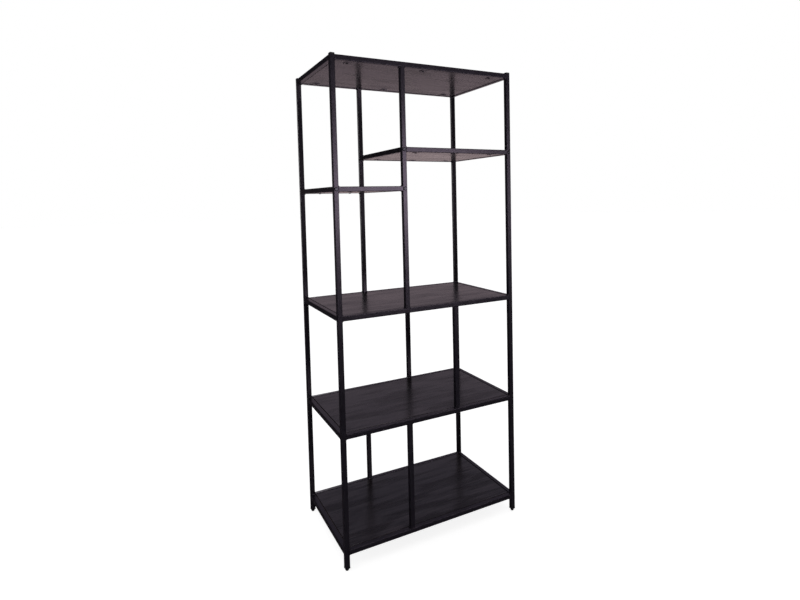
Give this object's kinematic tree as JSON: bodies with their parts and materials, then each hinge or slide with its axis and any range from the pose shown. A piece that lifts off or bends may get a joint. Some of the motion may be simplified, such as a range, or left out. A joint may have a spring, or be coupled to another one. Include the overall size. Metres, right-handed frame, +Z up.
{
  "type": "open metal-frame bookcase",
  "caption": "Open bookcase of black square steel tube, with wood-grain boards set in welded frames, offset half shelves and levelling feet.",
  "frame": {"origin": "on the floor under the middle of the bookcase", "axes": "+Z up, front faces -Y, +X to the right as seen from the front"},
  "size_m": [0.7514, 0.456, 1.8265],
  "materials": {
    "powder_coated_steel": "black semi-gloss powder coat",
    "wood_grain_board": "dark brown wood-grain melamine on board, satin",
    "black_fastener_steel": "black zinc",
    "zinc_plated_steel": "bright zinc plate",
    "black_plastic": "fine textured black polyethylene"
  },
  "bodies": {
    "bookcase": {"corner_post_front_left": "powder_coated_steel", "corner_post_front_right": "powder_coated_steel", "lower_mid_post_front": "powder_coated_steel", "middle_mid_post_front": "powder_coated_steel", "upper_mid_post_front": "powder_coated_steel", "bottom_rail_front": "powder_coated_steel", "lower_rail_front": "powder_coated_steel", "middle_rail_front": "powder_coated_steel", "top_rail_front": "powder_coated_steel", "left_half_rail_front": "powder_coated_steel", "right_half_rail_front": "powder_coated_steel", "corner_post_rear_left": "powder_coated_steel", "corner_post_rear_right": "powder_coated_steel", "lower_mid_post_rear": "powder_coated_steel", "middle_mid_post_rear": "powder_coated_steel", "upper_mid_post_rear": "powder_coated_steel", "bottom_rail_rear": "powder_coated_steel", "lower_rail_rear": "powder_coated_steel", "middle_rail_rear": "powder_coated_steel", "top_rail_rear": "powder_coated_steel", "left_half_rail_rear": "powder_coated_steel", "right_half_rail_rear": "powder_coated_steel", "bottom_side_rail_left": "powder_coated_steel", "bottom_side_rail_right": "powder_coated_steel", "bottom_board": "wood_grain_board", "lower_side_rail_left": "powder_coated_steel", "lower_side_rail_right": "powder_coated_steel", "lower_board": "wood_grain_board", "middle_side_rail_left": "powder_coated_steel", "middle_side_rail_right": "powder_coated_steel", "middle_board": "wood_grain_board", "top_side_rail_left": "powder_coated_steel", "top_side_rail_right": "powder_coated_steel", "top_board": "wood_grain_board", "left_half_side_rail_left": "powder_coated_steel", "left_half_side_rail_right": "powder_coated_steel", "left_half_board": "wood_grain_board", "right_half_side_rail_left": "powder_coated_steel", "right_half_side_rail_right": "powder_coated_steel", "right_half_board": "wood_grain_board", "board_tabs": "powder_coated_steel", "welds_front": "powder_coated_steel", "welds_rear": "powder_coated_steel", "welds_left": "powder_coated_steel", "welds_right": "powder_coated_steel", "board_screws": "black_fastener_steel", "half_shelf_bolts": "black_fastener_steel", "half_shelf_plugs": "zinc_plated_steel", "post_caps": "black_plastic", "leg_inserts": "black_plastic"},
    "foot_front_left": {"foot_pad_front_left": "black_plastic", "foot_stud_front_left": "zinc_plated_steel"},
    "foot_front_right": {"foot_pad_front_right": "black_plastic", "foot_stud_front_right": "zinc_plated_steel"},
    "foot_rear_left": {"foot_pad_rear_left": "black_plastic", "foot_stud_rear_left": "zinc_plated_steel"},
    "foot_rear_right": {"foot_pad_rear_right": "black_plastic", "foot_stud_rear_right": "zinc_plated_steel"}
  },
  "joints": [
    {"name": "foot_front_left_screw_out", "type": "slide", "parent": "bookcase", "child": "foot_front_left", "axis": [0, 0, -1], "range_m": [0, 0.01]},
    {"name": "foot_front_right_screw_out", "type": "slide", "parent": "bookcase", "child": "foot_front_right", "axis": [0, 0, -1], "range_m": [0, 0.01]},
    {"name": "foot_rear_left_screw_out", "type": "slide", "parent": "bookcase", "child": "foot_rear_left", "axis": [0, 0, -1], "range_m": [0, 0.01]},
    {"name": "foot_rear_right_screw_out", "type": "slide", "parent": "bookcase", "child": "foot_rear_right", "axis": [0, 0, -1], "range_m": [0, 0.01]}
  ]
}
